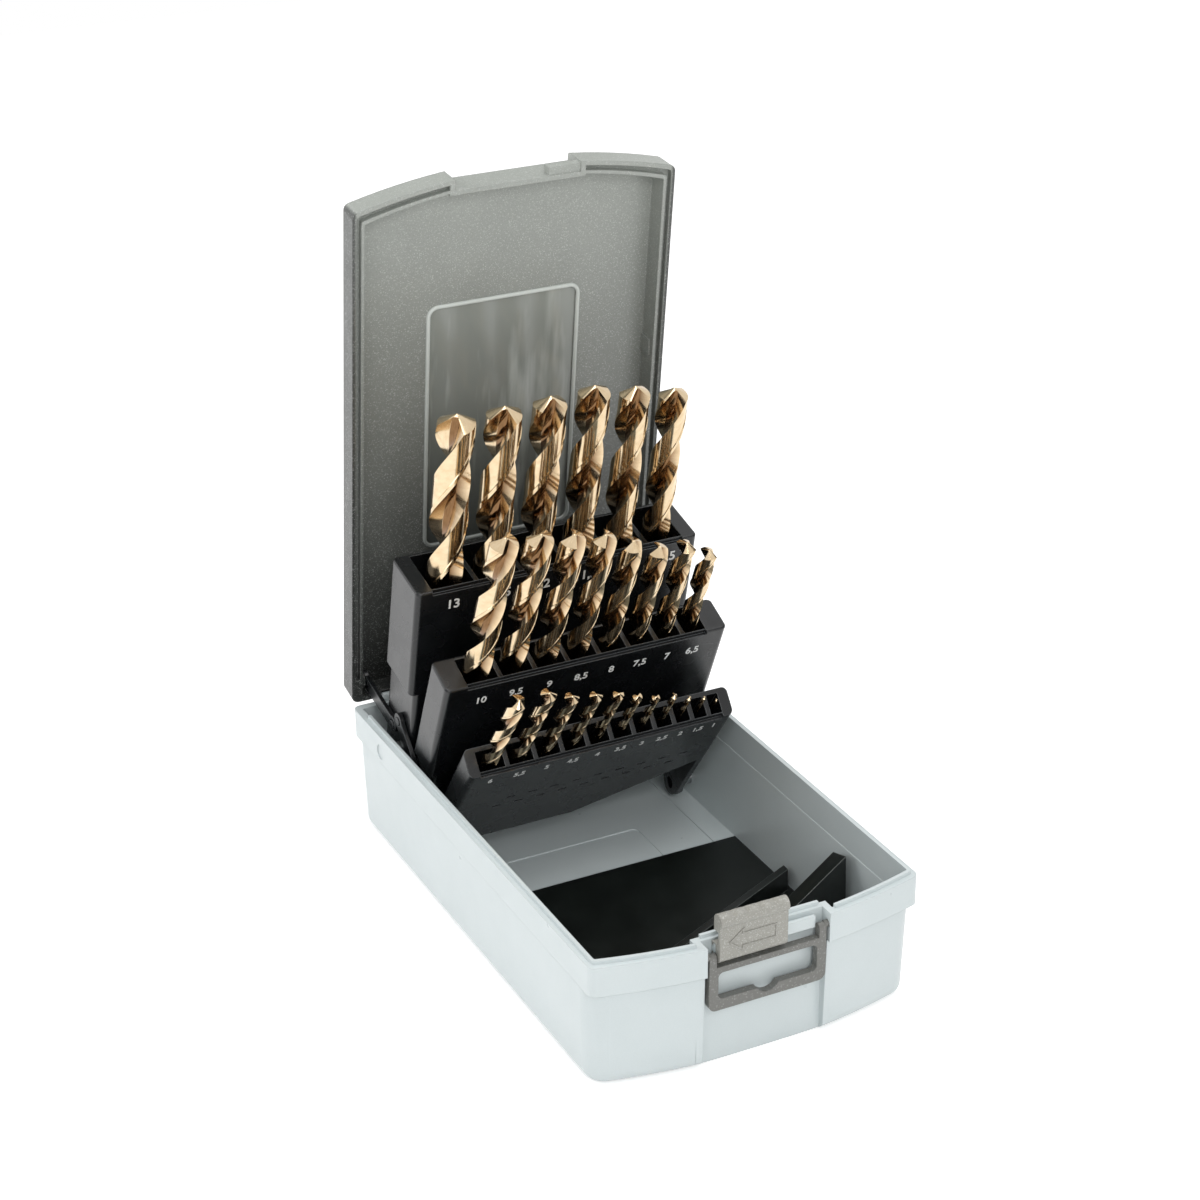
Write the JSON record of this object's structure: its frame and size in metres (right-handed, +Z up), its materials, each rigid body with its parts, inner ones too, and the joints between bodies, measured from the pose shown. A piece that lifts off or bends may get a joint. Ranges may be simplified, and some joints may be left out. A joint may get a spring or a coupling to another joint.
{
  "type": "drill bit case",
  "caption": "Bowed plastic tray with a hinged lid that lifts fold-down racks of twist drills, with a sliding latch and a swinging hanger.",
  "frame": {"origin": "middle of the underside of the tray", "axes": "+X right along the lid hinge seen from the front, +Y from the latch back to the hinge, +Z up"},
  "size_m": [0.117, 0.2071, 0.2415],
  "materials": {
    "sparkle_grey": "smooth pale grey moulding with fine metallic flake",
    "rack_black": "black moulding, light satin",
    "guard_black": "thin black moulding",
    "latch_silver": "silver flake moulding",
    "hanger_grey": "grey moulding",
    "pin_steel": "plain drawn wire",
    "drill_bronze": "ground high speed steel with a bronze tint"
  },
  "bodies": {
    "base": {"base_shell": "sparkle_grey", "tip_guard": "guard_black", "rack_pivot_pins": "pin_steel", "hinge_pins": "pin_steel"},
    "lid": {"lid_shell": "sparkle_grey"},
    "rear_rack": {"rear_rack": "rack_black"},
    "middle_rack": {"middle_rack": "rack_black"},
    "front_rack": {"front_rack": "rack_black"},
    "lid_links": {"lid_links": "rack_black"},
    "rear_middle_links": {"rear_middle_links": "rack_black"},
    "middle_front_links": {"middle_front_links": "rack_black"},
    "latch_slider": {"latch_slider": "latch_silver"},
    "hanger": {"hanger": "hanger_grey"},
    "drill_13_0": {"drill_13_0": "drill_bronze"},
    "drill_12_5": {"drill_12_5": "drill_bronze"},
    "drill_12_0": {"drill_12_0": "drill_bronze"},
    "drill_11_5": {"drill_11_5": "drill_bronze"},
    "drill_11_0": {"drill_11_0": "drill_bronze"},
    "drill_10_5": {"drill_10_5": "drill_bronze"},
    "drill_10_0": {"drill_10_0": "drill_bronze"},
    "drill_9_5": {"drill_9_5": "drill_bronze"},
    "drill_9_0": {"drill_9_0": "drill_bronze"},
    "drill_8_5": {"drill_8_5": "drill_bronze"},
    "drill_8_0": {"drill_8_0": "drill_bronze"},
    "drill_7_5": {"drill_7_5": "drill_bronze"},
    "drill_7_0": {"drill_7_0": "drill_bronze"},
    "drill_6_5": {"drill_6_5": "drill_bronze"},
    "drill_6_0": {"drill_6_0": "drill_bronze"},
    "drill_5_5": {"drill_5_5": "drill_bronze"},
    "drill_5_0": {"drill_5_0": "drill_bronze"},
    "drill_4_5": {"drill_4_5": "drill_bronze"},
    "drill_4_0": {"drill_4_0": "drill_bronze"},
    "drill_3_5": {"drill_3_5": "drill_bronze"},
    "drill_3_0": {"drill_3_0": "drill_bronze"},
    "drill_2_5": {"drill_2_5": "drill_bronze"},
    "drill_2_0": {"drill_2_0": "drill_bronze"},
    "drill_1_5": {"drill_1_5": "drill_bronze"},
    "drill_1_0": {"drill_1_0": "drill_bronze"}
  },
  "joints": [
    {"name": "lid_hinge", "type": "hinge", "parent": "base", "child": "lid", "pos_m": [0, 0.0951, 0.0462], "axis": [-1, 0, 0], "range_deg": [-82.8, 0]},
    {"name": "rear_rack_fold", "type": "hinge", "parent": "base", "child": "rear_rack", "pos_m": [0, 0.0695, 0.0394], "axis": [-1, 0, 0], "range_deg": [-76.5, 0]},
    {"name": "middle_rack_fold", "type": "hinge", "parent": "base", "child": "middle_rack", "pos_m": [0, 0.056, 0.0214], "axis": [-1, 0, 0], "range_deg": [-66, 0]},
    {"name": "front_rack_fold", "type": "hinge", "parent": "base", "child": "front_rack", "pos_m": [0, 0.051, 0.009], "axis": [-1, 0, 0], "range_deg": [-54, 0]},
    {"name": "lid_links_pivot", "type": "hinge", "parent": "lid", "child": "lid_links", "pos_m": [0, 0.09707, 0.05451], "axis": [-1, 0, 0], "range_deg": [0, 82]},
    {"name": "rear_middle_links_pivot", "type": "hinge", "parent": "rear_rack", "child": "rear_middle_links", "pos_m": [0, 0.06554, 0.05203], "axis": [-1, 0, 0], "range_deg": [0, 76.25]},
    {"name": "middle_front_links_pivot", "type": "hinge", "parent": "middle_rack", "child": "middle_front_links", "pos_m": [0, 0.05327, 0.02752], "axis": [-1, 0, 0], "range_deg": [0, 66.5]},
    {"name": "latch_slide", "type": "slide", "parent": "base", "child": "latch_slider", "axis": [-1, 0, 0], "range_m": [-0.0118, 0]},
    {"name": "hanger_swing", "type": "hinge", "parent": "base", "child": "hanger", "pos_m": [0, -0.0994, 0.0412], "axis": [-1, 0, 0], "range_deg": [0, 90]},
    {"name": "drill_13_0_slide", "type": "slide", "parent": "rear_rack", "child": "drill_13_0", "axis": [0, -0.2334, 0.9724], "range_m": [0, 0.0865]},
    {"name": "drill_12_5_slide", "type": "slide", "parent": "rear_rack", "child": "drill_12_5", "axis": [0, -0.2334, 0.9724], "range_m": [0, 0.087]},
    {"name": "drill_12_0_slide", "type": "slide", "parent": "rear_rack", "child": "drill_12_0", "axis": [0, -0.2334, 0.9724], "range_m": [0, 0.0865]},
    {"name": "drill_11_5_slide", "type": "slide", "parent": "rear_rack", "child": "drill_11_5", "axis": [0, -0.2334, 0.9724], "range_m": [0, 0.0765]},
    {"name": "drill_11_0_slide", "type": "slide", "parent": "rear_rack", "child": "drill_11_0", "axis": [0, -0.2334, 0.9724], "range_m": [0, 0.08]},
    {"name": "drill_10_5_slide", "type": "slide", "parent": "rear_rack", "child": "drill_10_5", "axis": [0, -0.2334, 0.9724], "range_m": [0, 0.0748]},
    {"name": "drill_10_0_slide", "type": "slide", "parent": "middle_rack", "child": "drill_10_0", "axis": [0, -0.4067, 0.9135], "range_m": [0, 0.069]},
    {"name": "drill_9_5_slide", "type": "slide", "parent": "middle_rack", "child": "drill_9_5", "axis": [0, -0.4067, 0.9135], "range_m": [0, 0.063]},
    {"name": "drill_9_0_slide", "type": "slide", "parent": "middle_rack", "child": "drill_9_0", "axis": [0, -0.4067, 0.9135], "range_m": [0, 0.0665]},
    {"name": "drill_8_5_slide", "type": "slide", "parent": "middle_rack", "child": "drill_8_5", "axis": [0, -0.4067, 0.9135], "range_m": [0, 0.062]},
    {"name": "drill_8_0_slide", "type": "slide", "parent": "middle_rack", "child": "drill_8_0", "axis": [0, -0.4067, 0.9135], "range_m": [0, 0.068]},
    {"name": "drill_7_5_slide", "type": "slide", "parent": "middle_rack", "child": "drill_7_5", "axis": [0, -0.4067, 0.9135], "range_m": [0, 0.066]},
    {"name": "drill_7_0_slide", "type": "slide", "parent": "middle_rack", "child": "drill_7_0", "axis": [0, -0.4067, 0.9135], "range_m": [0, 0.067]},
    {"name": "drill_6_5_slide", "type": "slide", "parent": "middle_rack", "child": "drill_6_5", "axis": [0, -0.4067, 0.9135], "range_m": [0, 0.0655]},
    {"name": "drill_6_0_slide", "type": "slide", "parent": "front_rack", "child": "drill_6_0", "axis": [0, -0.5878, 0.809], "range_m": [0, 0.0525]},
    {"name": "drill_5_5_slide", "type": "slide", "parent": "front_rack", "child": "drill_5_5", "axis": [0, -0.5878, 0.809], "range_m": [0, 0.0526]},
    {"name": "drill_5_0_slide", "type": "slide", "parent": "front_rack", "child": "drill_5_0", "axis": [0, -0.5878, 0.809], "range_m": [0, 0.0525]},
    {"name": "drill_4_5_slide", "type": "slide", "parent": "front_rack", "child": "drill_4_5", "axis": [0, -0.5878, 0.809], "range_m": [0, 0.05]},
    {"name": "drill_4_0_slide", "type": "slide", "parent": "front_rack", "child": "drill_4_0", "axis": [0, -0.5878, 0.809], "range_m": [0, 0.0485]},
    {"name": "drill_3_5_slide", "type": "slide", "parent": "front_rack", "child": "drill_3_5", "axis": [0, -0.5878, 0.809], "range_m": [0, 0.049]},
    {"name": "drill_3_0_slide", "type": "slide", "parent": "front_rack", "child": "drill_3_0", "axis": [0, -0.5878, 0.809], "range_m": [0, 0.0445]},
    {"name": "drill_2_5_slide", "type": "slide", "parent": "front_rack", "child": "drill_2_5", "axis": [0, -0.5878, 0.809], "range_m": [0, 0.043]},
    {"name": "drill_2_0_slide", "type": "slide", "parent": "front_rack", "child": "drill_2_0", "axis": [0, -0.5878, 0.809], "range_m": [0, 0.04]},
    {"name": "drill_1_5_slide", "type": "slide", "parent": "front_rack", "child": "drill_1_5", "axis": [0, -0.5878, 0.809], "range_m": [0, 0.034]},
    {"name": "drill_1_0_slide", "type": "slide", "parent": "front_rack", "child": "drill_1_0", "axis": [0, -0.5878, 0.809], "range_m": [0, 0.0325]}
  ],
  "couplings": [
    {"joint": "rear_rack_fold", "follows": "lid_hinge", "ratio": 0.9239},
    {"joint": "middle_rack_fold", "follows": "lid_hinge", "ratio": 0.7971},
    {"joint": "front_rack_fold", "follows": "lid_hinge", "ratio": 0.6521},
    {"joint": "lid_links_pivot", "follows": "lid_hinge", "ratio": -0.9899},
    {"joint": "rear_middle_links_pivot", "follows": "lid_hinge", "ratio": -0.9203},
    {"joint": "middle_front_links_pivot", "follows": "lid_hinge", "ratio": -0.8023}
  ]
}
